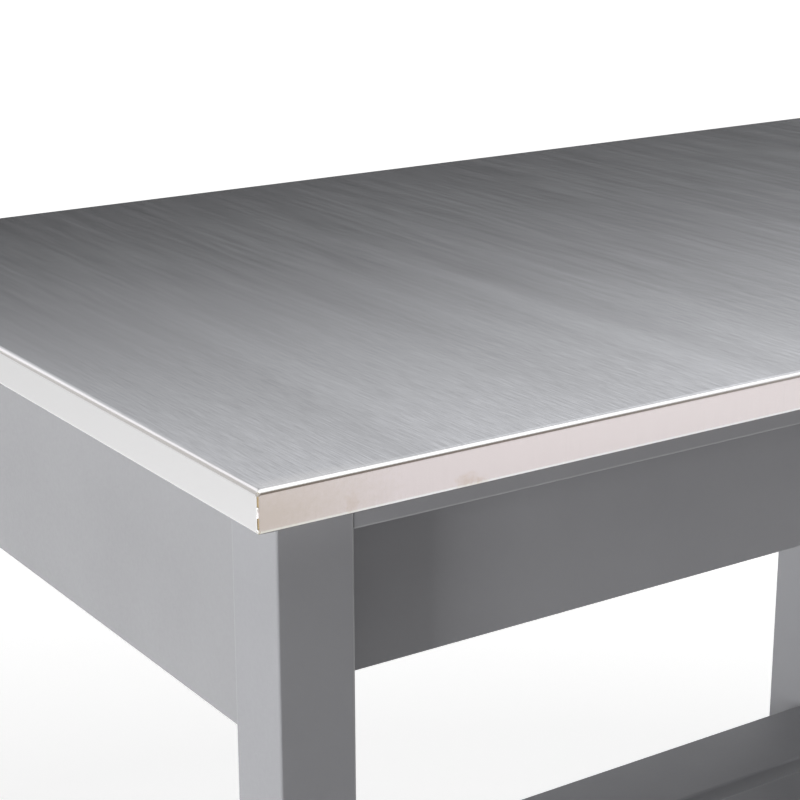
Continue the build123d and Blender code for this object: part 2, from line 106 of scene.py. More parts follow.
def addBox(place, size, turn=0.0):
    deselectAll()
    bpy.ops.mesh.primitive_cube_add(size=1.0, location=place, rotation=(0, 0, turn))
    box = bpy.context.object
    box.scale = size
    return box


def joinPieces(pieceList, name):
    deselectAll()
    for piece in pieceList:
        piece.select_set(True)
    bpy.context.view_layer.objects.active = pieceList[0]
    bpy.ops.object.join()
    settle(bpy.context.object, name)
    return bpy.context.object


def carve(piece, cutter):
    makeActive(piece)
    cut = piece.modifiers.new("carve", "BOOLEAN")
    cut.object = cutter
    cut.solver = "EXACT"
    applyModifiers(piece)
    bpy.data.objects.remove(cutter)


# turn that points a thing's -Z along a direction
def turnTowards(direction):
    return Vector(direction).to_track_quat("-Z", "Y").to_euler()


# copies of a piece, each with its own mesh, joined into one
def spread(piece, spots, name):
    copies = []
    for place, axis in spots:
        copy = piece.copy()
        copy.data = piece.data.copy()
        scene.collection.objects.link(copy)
        copy.location = place
        copy.rotation_euler = turnTowards(axis)
        copies.append(copy)
    bpy.data.objects.remove(piece)
    return joinPieces(copies, name)


def dress(piece, material):
    piece.data.materials.clear()
    piece.data.materials.append(material)


# small helpers for shader nodes
noiseSpan = (0.3, 0.7)  # most of what a noise texture gives lies between these
noiseMiddle = 0.5


def addNode(tree, kind, **settings):
    node = tree.nodes.new(kind)
    for key, value in settings.items():
        setattr(node, key, value)
    return node


# a socket takes a plain value or a link
def feed(tree, socket, value):
    if isinstance(value, (int, float, tuple)):
        socket.default_value = value
    else:
        tree.links.new(value, socket)


def mathNode(tree, operation, first, second=0.0):
    node = addNode(tree, "ShaderNodeMath", operation=operation)
    feed(tree, node.inputs[0], first)
    feed(tree, node.inputs[1], second)
    return node.outputs[0]


def vectorNode(tree, operation, first, second=None):
    node = addNode(tree, "ShaderNodeVectorMath", operation=operation)
    feed(tree, node.inputs[0], first)
    if second is not None:
        feed(tree, node.inputs[1], second)
    return node.outputs["Value" if operation in ("LENGTH", "DOT_PRODUCT") else "Vector"]


def axesOf(tree, vector):
    node = addNode(tree, "ShaderNodeSeparateXYZ")
    feed(tree, node.inputs["Vector"], vector)
    return node.outputs


def rangeNode(tree, value, low, high, newLow, newHigh):
    node = addNode(tree, "ShaderNodeMapRange")
    labels = ("Value", "From Min", "From Max", "To Min", "To Max")
    for label, number in zip(labels, (value, low, high, newLow, newHigh)):
        feed(tree, node.inputs[label], number)
    return node.outputs["Result"]


def maskNode(tree, value, low, high):
    return rangeNode(tree, value, low, high, 0.0, 1.0)


# sum of two values, each times its share
def weighted(tree, first, second, shares):
    first = mathNode(tree, "MULTIPLY", first, shares[0])
    return mathNode(tree, "ADD", first, mathNode(tree, "MULTIPLY", second, shares[1]))


def mixColour(tree, factor, first, second):
    node = addNode(tree, "ShaderNodeMix", data_type="RGBA")
    for index, value in ((0, factor), (6, first), (7, second)):
        feed(tree, node.inputs[index], value)
    return node.outputs[2]


def noiseNode(tree, vector, scale, detail, roughness):
    node = addNode(tree, "ShaderNodeTexNoise")
    for label, value in (("Vector", vector), ("Scale", scale), ("Detail", detail), ("Roughness", roughness)):
        feed(tree, node.inputs[label], value)
    return node.outputs["Fac"]


def stretchedNoise(tree, vector, stretch, detail, roughness):
    return noiseNode(tree, vectorNode(tree, "MULTIPLY", vector, stretch), 1.0, detail, roughness)


# shared effects as node groups
def newGroup(name, inputs, outputs):
    group = bpy.data.node_groups.new(name, "ShaderNodeTree")
    for label, kind, value in inputs:
        socket = group.interface.new_socket(name=label, in_out="INPUT", socket_type=kind)
        if value is not None:
            socket.default_value = value
    for label, kind in outputs:
        group.interface.new_socket(name=label, in_out="OUTPUT", socket_type=kind)
    return group, group.nodes.new("NodeGroupInput").outputs, group.nodes.new("NodeGroupOutput").inputs


# brushed grain in metres across, along and deep: stretch, detail and roughness of each layer
brushGrainLook = {
    "Fine": ((1200.0, 55.0, 55.0), 3.0, 0.7),
    "Streak": ((260.0, 12.0, 12.0), 3.0, 0.6),
    "Band": ((24.0, 1.4, 1.4), 2.0, 0.5),
}


def buildBrushGrain(look):
    group, given, result = newGroup(
        "brushGrain",
        [("Vector", "NodeSocketVector", None)],
        [(label, "NodeSocketFloat") for label in look],
    )
    for label, layer in look.items():
        feed(group, result[label], stretchedNoise(group, given["Vector"], *layer))
    return group


# a soft oval spot with a ragged rim, 1 in the middle and 0 outside
softSpotLook = {"noise": (420.0, 3.0, 0.6), "rim": (1.0, 0.15)}


def buildSoftSpot(look):
    group, given, result = newGroup(
        "softSpot",
        [
            ("Vector", "NodeSocketVector", None),
            ("Middle", "NodeSocketVector", (0.0, 0.0, 0.0)),
            ("Reach", "NodeSocketVector", (0.01, 0.01, 0.01)),
            ("Ragged", "NodeSocketFloat", 0.3),
        ],
        [("Mask", "NodeSocketFloat")],
    )
    away = vectorNode(group, "SUBTRACT", given["Vector"], given["Middle"])
    length = vectorNode(group, "LENGTH", vectorNode(group, "DIVIDE", away, given["Reach"]))
    uneven = rangeNode(group, noiseNode(group, given["Vector"], *look["noise"]), *noiseSpan, -1.0, 1.0)
    uneven = mathNode(group, "MULTIPLY", uneven, given["Ragged"])
    rim = mathNode(group, "ADD", length, uneven)
    feed(group, result["Mask"], maskNode(group, rim, *look["rim"]))
    return group


# sprayed satin paint: faint mottling, orange peel and a fine nib
paintSkinLook = {
    "broad": (14.0, 3.0, 0.55),
    "peel": (520.0, 2.0, 0.5),
    "nib": (2400.0, 2.0, 0.6),
    "toneShares": (0.75, 0.25),
    "heightShares": (0.7, 0.3),
    "roughness": (0.42, 0.52),
}


def buildPaintSkin(look):
    group, given, result = newGroup(
        "paintSkin",
        [
            ("Vector", "NodeSocketVector", None),
            ("Light", "NodeSocketColor", (0.32, 0.32, 0.33, 1.0)),
            ("Dark", "NodeSocketColor", (0.28, 0.28, 0.29, 1.0)),
        ],
        [("Color", "NodeSocketColor"), ("Roughness", "NodeSocketFloat"), ("Height", "NodeSocketFloat")],
    )
    broad, peel, nib = (
        noiseNode(group, given["Vector"], *look[layer]) for layer in ("broad", "peel", "nib"))
    tone = maskNode(group, weighted(group, broad, nib, look["toneShares"]), *noiseSpan)
    feed(group, result["Color"], mixColour(group, tone, given["Dark"], given["Light"]))
    feed(group, result["Roughness"], rangeNode(group, peel, *noiseSpan, *look["roughness"]))
    feed(group, result["Height"], weighted(group, peel, nib, look["heightShares"]))
    return group


# painted highlight on arrises: 1 along the lines where two of the named planes meet, 0 away from them
nowhere = 9.0  # stands for no plane
arrisHighlightLook = {"full": 0.4}


def buildArrisHighlight(look):
    group, given, result = newGroup(
        "arrisHighlight",
        [
            ("Vector", "NodeSocketVector", None),
            ("Near", "NodeSocketVector", (nowhere, nowhere, nowhere)),
            ("Far", "NodeSocketVector", (nowhere, nowhere, nowhere)),
            ("Reach", "NodeSocketFloat", 0.001),
        ],
        [("Mask", "NodeSocketFloat")],
    )
    # both sides of the cart get the same painted highlight
    folded = vectorNode(group, "ABSOLUTE", given["Vector"])
    gaps = []
    for label in ("Near", "Far"):
        gaps.append(vectorNode(group, "ABSOLUTE", vectorNode(group, "SUBTRACT", folded, given[label])))
    least = axesOf(group, vectorNode(group, "MINIMUM", *gaps))
    full = mathNode(group, "MULTIPLY", given["Reach"], look["full"])
    close = [maskNode(group, least[axis], given["Reach"], full) for axis in "XYZ"]
    mask = mathNode(group, "MULTIPLY", close[0], close[1])
    for other in (close[1], close[0]):
        mask = mathNode(group, "MAXIMUM", mask, mathNode(group, "MULTIPLY", other, close[2]))
    feed(group, result["Mask"], mask)
    return group


# bare hardwood: rings and pores stretched along one way of the board
woodGrainLook = {
    "rings": ((160.0, 5.0, 160.0), 4.0, 0.6),
    "pores": ((1800.0, 60.0, 1800.0), 2.0, 0.6),
    "toneShares": (0.7, 0.3),
    "toneSpan": (0.35, 0.65),
}


def buildWoodGrain(look):
    group, given, result = newGroup(
        "woodGrain",
        [
            ("Vector", "NodeSocketVector", None),
            ("Early", "NodeSocketColor", (0.60, 0.42, 0.25, 1.0)),
            ("Late", "NodeSocketColor", (0.42, 0.27, 0.14, 1.0)),
        ],
        [("Color", "NodeSocketColor"), ("Height", "NodeSocketFloat")],
    )
    rings, pores = (stretchedNoise(group, given["Vector"], *look[layer]) for layer in ("rings", "pores"))
    tone = maskNode(group, weighted(group, rings, pores, look["toneShares"]), *look["toneSpan"])
    feed(group, result["Color"], mixColour(group, tone, given["Early"], given["Late"]))
    feed(group, result["Height"], pores)
    return group


# moulded skin for plastic and rubber: fine grain and faint scuffs
mouldedSkinLook = {
    "grain": (3200.0, 2.0, 0.6),
    "scuffs": (180.0, 4.0, 0.7),
    "scuffSpan": (0.52, 0.75),
    "roughness": (0.48, 0.66),
}


def buildMouldedSkin(look):
    group, given, result = newGroup(
        "mouldedSkin",
        [
            ("Vector", "NodeSocketVector", None),
            ("Base", "NodeSocketColor", (0.1, 0.1, 0.1, 1.0)),
            ("Scuff", "NodeSocketColor", (0.2, 0.2, 0.2, 1.0)),
            ("Scuffing", "NodeSocketFloat", 0.4),
        ],
        [("Color", "NodeSocketColor"), ("Roughness", "NodeSocketFloat"), ("Height", "NodeSocketFloat")],
    )
    grain, scuffs = (noiseNode(group, given["Vector"], *look[layer]) for layer in ("grain", "scuffs"))
    mask = maskNode(group, scuffs, *look["scuffSpan"])
    mask = mathNode(group, "MULTIPLY", mask, given["Scuffing"])
    feed(group, result["Color"], mixColour(group, mask, given["Base"], given["Scuff"]))
    feed(group, result["Roughness"], rangeNode(group, scuffs, *noiseSpan, *look["roughness"]))
    feed(group, result["Height"], grain)
    return group


brushGrain = buildBrushGrain(brushGrainLook)
softSpot = buildSoftSpot(softSpotLook)
paintSkin = buildPaintSkin(paintSkinLook)
arrisHighlight = buildArrisHighlight(arrisHighlightLook)
woodGrain = buildWoodGrain(woodGrainLook)
mouldedSkin = buildMouldedSkin(mouldedSkinLook)
print("node groups ready")


# materials; each bump is a strength and a distance
def newMaterial(name):
    material = bpy.data.materials.new(name)
    material.use_nodes = True
    tree = material.node_tree
    return material, tree, tree.nodes["Principled BSDF"]


def objectCoords(tree):
    return addNode(tree, "ShaderNodeTexCoord").outputs["Object"]


def placeGroup(tree, group, vector, **values):
    node = addNode(tree, "ShaderNodeGroup", node_tree=group)
    tree.links.new(vector, node.inputs["Vector"])
    for label, value in values.items():
        node.inputs[label].default_value = value
    return node.outputs


def addBump(tree, shader, height, strength, distance):
    bump = addNode(tree, "ShaderNodeBump")
    bump.inputs["Strength"].default_value = strength
    bump.inputs["Distance"].default_value = distance
    tree.links.new(height, bump.inputs["Height"])
    tree.links.new(bump.outputs["Normal"], shader.inputs["Normal"])


# copies of one grey paint, the legs' a little darker than the front's and the side and rear boards' darker
# still: painted shade standing in for how the light falls on them
paintFinish = {"gloss": 0.3, "bump": (0.12, 0.0004)}
greyPaintLook = {"light": (0.312, 0.314, 0.330, 1.0), "dark": (0.288, 0.290, 0.306, 1.0)}
shadedLegPaintLook = {"light": (0.304, 0.306, 0.321, 1.0), "dark": (0.281, 0.283, 0.298, 1.0)}
shadedBoardPaintLook = {"light": (0.296, 0.298, 0.310, 1.0), "dark": (0.273, 0.274, 0.286, 1.0)}
# painted highlights: lighter lines along the legs' arrises and the front rail's lower one, where light
# catches the edges
legArrisHighlights = (
    {
        "colour": (0.540, 0.542, 0.555, 1.0),
        "near": (0.347, 0.197, nowhere),
        "far": (nowhere, 0.232, nowhere),
        "reach": 0.0012,
    },
    {
        "colour": (0.350, 0.352, 0.366, 1.0),
        "near": (0.382, 0.197, nowhere),
        "far": (nowhere, nowhere, nowhere),
        "reach": 0.0014,
    },
)
railArrisHighlight = (
    {
        "colour": (0.390, 0.392, 0.405, 1.0),
        "near": (nowhere, 0.2317, 0.868),
        "far": (nowhere, nowhere, nowhere),
        "reach": 0.0012,
    },
)


def makePaint(name, look, highlights=()):
    material, tree, shader = newMaterial(name)
    coords = objectCoords(tree)
    skin = placeGroup(tree, paintSkin, coords, Light=look["light"], Dark=look["dark"])
    colour = skin["Color"]
    # each entry paints a lighter line along arrises, a painted highlight
    for highlight in highlights:
        highlit = placeGroup(
            tree, arrisHighlight, coords, Near=highlight["near"], Far=highlight["far"], Reach=highlight["reach"])
        colour = mixColour(tree, highlit["Mask"], colour, highlight["colour"])
    feed(tree, shader.inputs["Base Color"], colour)
    feed(tree, shader.inputs["Roughness"], skin["Roughness"])
    shader.inputs["Specular IOR Level"].default_value = paintFinish["gloss"]
    addBump(tree, shader, skin["Height"], *paintFinish["bump"])
    return material


# places on the steel are in the unrolled sheet's coordinates: across the grain, then along it
steelLook = {
    "bright": (0.860, 0.860, 0.866, 1.0),
    "dull": (0.640, 0.637, 0.640, 1.0),
    "edge": (0.765, 0.762, 0.765, 1.0),
    "edgeGrain": 0.08,
    "crispPlace": (-0.25, -0.02),
    "crisp": (1.15, 0.08),
    "streak": (0.24, 0.12),
    "band": 0.44,
    "toneSpan": (0.07, 0.37),
    "roughness": (0.160, 0.195),
    "anisotropy": 0.80,
    "bump": (0.12, 0.0002),
    # where the worktop, the front edge and the seams' walls begin
    "topAcross": (0.401, 0.396),
    "topAlong": (0.251, 0.246),
    "frontAlong": (-0.2500, -0.2520),
    "seamAcross": (0.50, 0.52),
    # a light strip along the grain and a dull one beside it: place, reach, depth and tint
    "grainStrips": (
        ((-0.1545, -0.05, 0.0), (0.0150, 0.45, 1.0), 0.50, "bright"),
        ((-0.1320, -0.05, 0.0), (0.0150, 0.45, 1.0), 0.38, "dull"),
    ),
    "film": (0.625, 0.605, 0.545, 1.0),
    "filmPlace": ((-0.4000, -0.2620, 0.0), (0.0650, 0.0260, 1.0), 0.85),
    # a lighter, warmer part by the corner: rubbed metal and painted highlight
    "polishAndSheen": (0.97, 0.95, 0.925, 1.0),
    "polishAndSheenPlace": ((-0.3960, -0.2500, 0.0), (0.0650, 0.0100, 1.0), 0.95),
    "softRim": 0.12,
    # place, reach and depth of each tarnish spot
    "tarnish": (0.50, 0.39, 0.25, 1.0),
    "spots": (
        ((-0.3066, -0.2648, 0.0), (0.0068, 0.0045, 1.0), 0.30),
        ((-0.3000, -0.2664, 0.0), (0.0055, 0.0028, 1.0), 0.25),
        ((-0.3595, -0.2640, 0.0), (0.0040, 0.0060, 1.0), 0.14),
    ),
    "raggedRim": 0.35,
    "heat": (0.36, 0.29, 0.175, 1.0),
}


def makeBrushedSteel(look):
    material, tree, shader = newMaterial("brushedSteel")
    uv = addNode(tree, "ShaderNodeUVMap", uv_map="developed").outputs["UV"]
    grain = placeGroup(tree, brushGrain, uv)
    axes = axesOf(tree, uv)
    across, along = axes["X"], axes["Y"]

    # share of a spot at this place, kept to one face of the sheet
    def spotShare(place, reach, depth, rim, face=None):
        spot = placeGroup(tree, softSpot, uv, Middle=place, Reach=reach, Ragged=rim)
        share = mathNode(tree, "MULTIPLY", spot["Mask"], depth)
        return share if face is None else mathNode(tree, "MULTIPLY", share, face)

    # the fine grain is crisp along the front and rubbed down towards the back
    layers = []
    for layer, strength in (("Fine", look["crisp"]), ("Streak", look["streak"])):
        share = rangeNode(tree, along, *look["crispPlace"], *strength)
        swing = mathNode(tree, "SUBTRACT", grain[layer], noiseMiddle)
        layers.append(mathNode(tree, "MULTIPLY", swing, share))
    fine, streak = layers
    band = mathNode(tree, "MULTIPLY", grain["Band"], look["band"])
    tone = mathNode(tree, "ADD", mathNode(tree, "ADD", fine, streak), band)
    colour = mixColour(tree, maskNode(tree, tone, *look["toneSpan"]), look["dull"], look["bright"])
    # the turned-down edges are smoother than the worktop
    fromMiddle = mathNode(tree, "ABSOLUTE", across)
    onTop = mathNode(
        tree, "MULTIPLY",
        maskNode(tree, fromMiddle, *look["topAcross"]),
        maskNode(tree, mathNode(tree, "ABSOLUTE", along), *look["topAlong"]))
    colour = mixColour(tree, rangeNode(tree, onTop, 0.0, 1.0, look["edgeGrain"], 1.0), look["edge"], colour)
    for place, reach, depth, tint in look["grainStrips"]:
        share = spotShare(place, reach, depth, look["softRim"], onTop)
        colour = mixColour(tree, share, colour, look[tint])
    # by the corner, a soft hand mark on the front edge and, above it, a lighter part of the worktop that is
    # partly rubbed metal and partly painted highlight
    onFront = maskNode(tree, along, *look["frontAlong"])
    for mark, face in (("film", onFront), ("polishAndSheen", onTop)):
        share = spotShare(*look[mark + "Place"], look["softRim"], face)
        colour = mixColour(tree, share, colour, look[mark])
    for spot in look["spots"]:
        colour = mixColour(tree, spotShare(*spot, look["raggedRim"]), colour, look["tarnish"])
    # the seams' walls lie beside the sheet in the unrolled coordinates
    colour = mixColour(tree, maskNode(tree, fromMiddle, *look["seamAcross"]), colour, look["heat"])
    feed(tree, shader.inputs["Base Color"], colour)
    roughness = rangeNode(tree, grain["Streak"], *noiseSpan, *look["roughness"])
    feed(tree, shader.inputs["Roughness"], roughness)
    shader.inputs["Metallic"].default_value = 1.0
    shader.inputs["Anisotropic"].default_value = look["anisotropy"]
    tangent = addNode(tree, "ShaderNodeTangent", direction_type="UV_MAP", uv_map="developed")
    feed(tree, shader.inputs["Tangent"], tangent.outputs["Tangent"])
    addBump(tree, shader, fine, *look["bump"])
    return material


plainMetalLook = {
    "patch": (90.0, 4.0, 0.6),
    "fleck": (1400.0, 2.0, 0.5),
    "darker": 0.82,
    "bump": (0.06, 0.0002),
}


def makePlainMetal(name, colour, roughness):
    material, tree, shader = newMaterial(name)
    look = plainMetalLook
    coords = objectCoords(tree)
    patch, fleck = (noiseNode(tree, coords, *look[layer]) for layer in ("patch", "fleck"))
    darker = tuple(look["darker"] * part for part in colour[:3]) + (1.0,)
    feed(tree, shader.inputs["Base Color"], mixColour(tree, patch, darker, colour))
    feed(tree, shader.inputs["Roughness"], rangeNode(tree, patch, *noiseSpan, *roughness))
    shader.inputs["Metallic"].default_value = 1.0
    addBump(tree, shader, fleck, *look["bump"])
    return material


bareWoodLook = {"roughness": 0.6, "bump": (0.2, 0.0003)}


def makeBareWood(name, early, late):
    material, tree, shader = newMaterial(name)
    grain = placeGroup(tree, woodGrain, objectCoords(tree), Early=early, Late=late)
    feed(tree, shader.inputs["Base Color"], grain["Color"])
    shader.inputs["Roughness"].default_value = bareWoodLook["roughness"]
    addBump(tree, shader, grain["Height"], *bareWoodLook["bump"])
    return material


mouldedLook = {"bump": (0.15, 0.0002)}


def makeMoulded(name, base, scuff, scuffing):
    material, tree, shader = newMaterial(name)
    skin = placeGroup(tree, mouldedSkin, objectCoords(tree), Base=base, Scuff=scuff, Scuffing=scuffing)
    feed(tree, shader.inputs["Base Color"], skin["Color"])
    feed(tree, shader.inputs["Roughness"], skin["Roughness"])
    addBump(tree, shader, skin["Height"], *mouldedLook["bump"])
    return material


greyPaint = makePaint("greyPaint", greyPaintLook)
shadedBoardPaint = makePaint("shadedBoardPaint", shadedBoardPaintLook)
shadedHighlitLegPaint = makePaint("shadedHighlitLegPaint", shadedLegPaintLook, legArrisHighlights)
highlitRailPaint = makePaint("highlitRailPaint", greyPaintLook, railArrisHighlight)
brushedSteel = makeBrushedSteel(steelLook)
zincPlate = makePlainMetal("zincPlate", (0.66, 0.67, 0.68, 1.0), (0.26, 0.40))
pullSteel = makePlainMetal("pullSteel", (0.68, 0.675, 0.67, 1.0), (0.24, 0.32))
weldSteel = makePlainMetal("weldSteel", (0.96, 0.95, 0.93, 1.0), (0.22, 0.34))
coreBoard = makeBareWood("coreBoard", (0.46, 0.33, 0.21, 1.0), (0.38, 0.26, 0.16, 1.0))
bareBeech = makeBareWood("bareBeech", (0.62, 0.45, 0.28, 1.0), (0.47, 0.31, 0.17, 1.0))
hubPlastic = makeMoulded("hubPlastic", (0.10, 0.10, 0.105, 1.0), (0.17, 0.17, 0.175, 1.0), 0.35)
pedalPlastic = makeMoulded("pedalPlastic", (0.05, 0.05, 0.053, 1.0), (0.13, 0.13, 0.13, 1.0), 0.5)
treadRubber = makeMoulded("treadRubber", (0.17, 0.17, 0.175, 1.0), (0.30, 0.29, 0.27, 1.0), 0.6)
slotLooks = {
    "brushed_steel": pullSteel,
    "grey_paint": greyPaint,
    "core_board": coreBoard,
    "bare_wood": bareBeech,
    "zinc_plate": zincPlate,
    "hub_plastic": hubPlastic,
    "pedal_plastic": pedalPlastic,
    "grey_rubber": treadRubber,
}
# a node's own look goes by the last word of its name
# the legs and aprons take the shaded copies of the paint: painted shade
nodeLooks = {"apron": shadedBoardPaint, "leg": shadedHighlitLegPaint}
for entry in frame["record"]["subparts"]:
    look = nodeLooks.get(entry["node"].split("_")[-1], slotLooks[entry["material_slot"]])
    # the front rail takes the paint with a painted highlight along its lower arris
    if entry["node"] == "front_top_rail":
        look = highlitRailPaint
    for materialSlot in frame["nodes"][entry["node"]].material_slots:
        materialSlot.material = look
print("materials placed on the CAD nodes")


# the folded steel sheet over the core board
sheetSize = {
    "length": 0.800,
    "depth": 0.500,
    "thickness": 0.018,
    "top": 0.900,
    "gauge": 0.001,
    "edgeRadius": 0.0025,
    "hemRadius": 0.0021,
    "cornerRadius": 0.0013,
    "bendSteps": 8,
    "hemWidth": 0.014,
    "seamWidth": 0.0008,
    "seamReach": 0.00115,
    "seamSlot": 0.0045,
    "seamTack": 0.0040,
    # distances from its corner between which a seam's wall lies, and its shift in the unrolled sheet
    "wallNear": 0.00095,
    "wallFar": 0.00128,
    "wallShift": 0.2,
    "smoothAngle": 32,
    "flatWeight": 90,
}


# two open lengths of seam at each corner, closed between them and below
def cutSeams(sheet, size):
    upper = size["top"] - size["edgeRadius"] - size["seamSlot"] / 2
    lower = upper - size["seamSlot"] - size["seamTack"]
    shape = (2 * size["seamReach"], size["seamWidth"], size["seamSlot"])
    blades = []
    for signX in signs:
        for signY in signs:
            for height in (upper, lower):
                place = (signX * size["length"] / 2, signY * size["depth"] / 2, height)
                blades.append(addBox(place, shape, math.radians(45) * signX * signY))
    carve(sheet, joinPieces(blades, "seamBlades"))


# unrolled coordinates: across the grain, then along it
def developSheet(sheet, size):
    mesh = sheet.data
    while mesh.uv_layers:
        mesh.uv_layers.remove(mesh.uv_layers[0])
    layer = mesh.uv_layers.new(name="developed")

    def fromCorner(point):
        return math.hypot(size["length"] / 2 - abs(point.x), size["depth"] / 2 - abs(point.y))

    for face in mesh.polygons:
        farthest = max(fromCorner(mesh.vertices[index].co) for index in face.vertices)
        inSeam = fromCorner(face.center) > size["wallNear"] and farthest < size["wallFar"]
        for loop in face.loop_indices:
            point = mesh.vertices[mesh.loops[loop].vertex_index].co
            drop = size["top"] - point.z
            across = point.x
            along = point.y
            if inSeam:
                across += math.copysign(size["wallShift"] + drop, point.x)
            elif abs(face.normal.x) > upright:
                across += math.copysign(drop, point.x)
            elif abs(face.normal.y) > upright:
                along += math.copysign(drop, point.y)
            layer.data[loop].uv = (across, along)


def makeFoldedSheet(size):
    low = size["top"] - size["thickness"]

    def onRim(point):
        return abs(point.x) > size["length"] / 2 - tiny or abs(point.y) > size["depth"] / 2 - tiny

    sheet = addBox((0, 0, (low + size["top"]) / 2), (size["length"], size["depth"], size["thickness"]))
    settle(sheet, "foldedSheet")
    pick(sheet, "FACE", lambda middle, normal: normal.z < downward)
    bpy.ops.mesh.inset(thickness=size["hemWidth"])
    bpy.ops.mesh.delete(type="FACE")
    bends = (
        ("edgeRadius", lambda a, b: min(a.z, b.z) > size["top"] - tiny),
        ("cornerRadius", lambda a, b: abs(a.z - b.z) > size["thickness"] / 2),
        ("hemRadius", lambda a, b: max(a.z, b.z) < low + tiny and onRim(a) and onRim(b)),
    )
    for radius, test in bends:
        pick(sheet, "EDGE", test)
        bpy.ops.transform.edge_bevelweight(value=size[radius] / size["edgeRadius"])
    leaveEdit()
    fold = sheet.modifiers.new("fold", "BEVEL")
    fold.limit_method = "WEIGHT"
    fold.width = size["edgeRadius"]
    fold.segments = size["bendSteps"]
    wall = sheet.modifiers.new("wall", "SOLIDIFY")
    wall.thickness = size["gauge"]
    wall.offset = -1.0
    applyModifiers(sheet)
    cutSeams(sheet, size)
    developSheet(sheet, size)
    makeActive(sheet)
    bpy.ops.object.shade_smooth_by_angle(angle=math.radians(size["smoothAngle"]))
    flat = sheet.modifiers.new("flatFaces", "WEIGHTED_NORMAL")
    flat.keep_sharp = True
    flat.weight = size["flatWeight"]
    applyModifiers(sheet)
    dress(sheet, brushedSteel)
    return sheet


foldedSheet = makeFoldedSheet(sheetSize)
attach(foldedSheet, "frame")
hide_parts("steel_top")
print("folded sheet:", len(foldedSheet.data.polygons), "faces")


# a rippled tack weld closes each corner seam between its two open lengths
tackSize = {
    "radius": 0.00055,
    "height": 0.0043,
    "inset": 0.00060,
    "ripple": 0.94,
    "rippleEvery": 3,
    "plainEnds": 2,
    "segments": 20,
    "rings": 18,
}


def makeTack(size):
    deselectAll()
    bpy.ops.mesh.primitive_uv_sphere_add(
        segments=size["segments"], ring_count=size["rings"], radius=size["radius"])
    tack = bpy.context.object
    rings = sorted({round(point.co.z, 6) for point in tack.data.vertices})
    for height in rings[size["plainEnds"]:-size["plainEnds"]:size["rippleEvery"]]:
        pick(tack, "VERT", lambda point: abs(point.z - height) < tiny)
        bpy.ops.transform.resize(value=(size["ripple"], size["ripple"], 1.0))
    leaveEdit()
    tack.scale = (1.0, 1.0, size["height"] / (2 * size["radius"]))
    settle(tack, "tackWeld")
    bpy.ops.object.shade_smooth()
    dress(tack, weldSteel)
    return tack


def tackSpots(size, sheet):
    height = sheet["top"] - sheet["edgeRadius"] - sheet["seamSlot"] - sheet["seamTack"] / 2
    x = sheet["length"] / 2 - size["inset"]
    y = sheet["depth"] / 2 - size["inset"]
    return [((signX * x, signY * y, height), (0, 0, -1)) for signX in signs for signY in signs]


cornerTacks = spread(makeTack(tackSize), tackSpots(tackSize, sheetSize), "cornerTacks")
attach(cornerTacks, "frame")
print("corner tack welds:", len(cornerTacks.data.polygons), "faces")


# cross-head screws, made head up along Z and then copied to every place
flatHead = ((0.0, 0.0040), (-0.0002, 0.0040), (-0.0020, 0.0020))
screwSize = {
    # height and radius of each step, from the top of the head down
    "slat": flatHead + ((-0.0240, 0.0020), (-0.0260, 0.0002)),
    "runner": flatHead + ((-0.0360, 0.0020), (-0.0380, 0.0002)),
    "rail": flatHead + ((-0.0250, 0.0020), (-0.0270, 0.0002)),
    "pull": ((0.0025, 0.0040), (0.0, 0.0040), (0.0, 0.0020), (-0.0235, 0.0020), (-0.0240, 0.0017)),
    "sides": 24,
    "headRadius": 0.0009,
    "headSteps": 4,
    "slotReach": 0.0024,
    "slotWidth": 0.0009,
    "slotDepth": 0.0012,
    "slotTaper": 0.45,
    "smoothAngle": 35,
    # places along the pieces that they hold
    "slatCount": 5,
    "slatInset": 0.005,
    "slatShares": (0.2, 0.8),
    "runnerShares": (-0.7, 0.0, 0.7),
    "railShares": (-0.8, 0.0, 0.8),
}


def makeScrew(size, kind):
    steps = size[kind]
    top, radius = steps[0]
    low = steps[1][0]
    deselectAll()
    bpy.ops.mesh.primitive_cylinder_add(
        vertices=size["sides"], radius=radius, depth=top - low, location=(0, 0, (top + low) / 2))
    screw = bpy.context.object
    settle(screw, kind + "Screw")

    # the end face only, not a shoulder level with it
    def atEnd(middle, normal):
        onAxis = math.hypot(middle.x, middle.y) < tiny
        return onAxis and normal.z < downward and middle.z < low + tiny

    for height, narrow in steps[2:]:
        pick(screw, "FACE", atEnd)
        bpy.ops.mesh.extrude_region_move(TRANSFORM_OT_translate={"value": (0, 0, height - low)})
        bpy.ops.transform.resize(value=(narrow / radius, narrow / radius, 1.0))
        leaveEdit()
        low, radius = height, narrow
    if kind == "pull":
        pick(screw, "EDGE", lambda a, b: min(a.z, b.z) > top - tiny)
        bpy.ops.mesh.bevel(offset=size["headRadius"], segments=size["headSteps"])
        leaveEdit()
    for turn in (0, 90):
        shape = (2 * size["slotReach"], size["slotWidth"], 2 * size["slotDepth"])
        blade = addBox((0, 0, top), shape, math.radians(turn))
        settle(blade, "slotBlade")
        pick(blade, "VERT", lambda point: point.z < top)
        bpy.ops.transform.resize(value=(size["slotTaper"], size["slotTaper"], 1.0))
        leaveEdit()
        carve(screw, blade)
    makeActive(screw)
    bpy.ops.object.shade_smooth_by_angle(angle=math.radians(size["smoothAngle"]))
    dress(screw, zincPlate)
    return screw


def corners(node):
    return [Vector(corner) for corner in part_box(node)]


def slatSpots(size):
    spots = []
    for shelf in ("upper", "lower"):
        for number in range(1, size["slatCount"] + 1):
            low, high = corners(f"{shelf}_shelf_slat_{number}")
            for x in (low.x + size["slatInset"], high.x - size["slatInset"]):
                for share in size["slatShares"]:
                    spots.append(((x, low.y + share * (high.y - low.y), high.z), (0, 0, -1)))
    return spots


